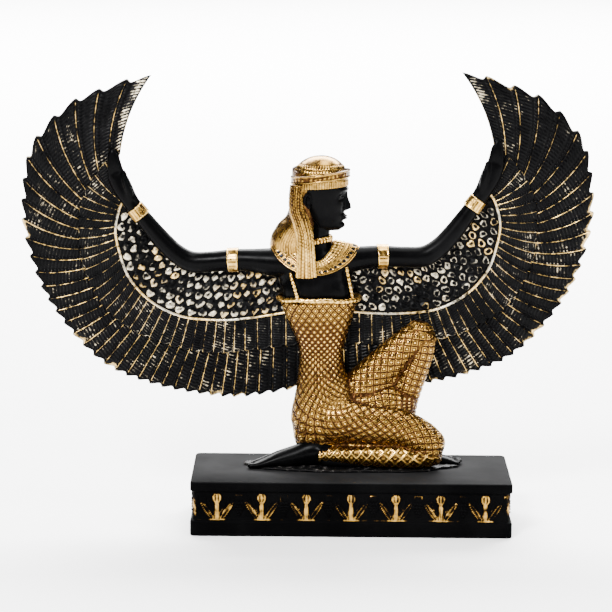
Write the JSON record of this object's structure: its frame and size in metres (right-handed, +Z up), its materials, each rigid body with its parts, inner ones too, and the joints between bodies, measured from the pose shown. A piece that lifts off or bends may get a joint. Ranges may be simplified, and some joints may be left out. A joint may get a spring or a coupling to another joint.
{
  "type": "isis statue",
  "caption": "Desk-size cast resin figure of a kneeling winged goddess with outspread feathered wings, on a rectangular plinth with a lotus frieze.",
  "frame": {"origin": "centre of the plinth's underside", "axes": "+Z up, +X the way she faces, along the plinth's length, and -Y the front, where the arms and the feathers' faces show"},
  "size_m": [0.2879, 0.066, 0.2271],
  "materials": {
    "black_and_gold_resin": "cast resin in satin black, with antique gold rubbed over the dress, wig, collar and the ridges of the feathers",
    "black_resin": "cast resin in low satin black, with antique gold on the lotus plants and studs of its frieze"
  },
  "bodies": {
    "root": {"winged_goddess": "black_and_gold_resin", "plinth": "black_resin"}
  },
  "joints": []
}
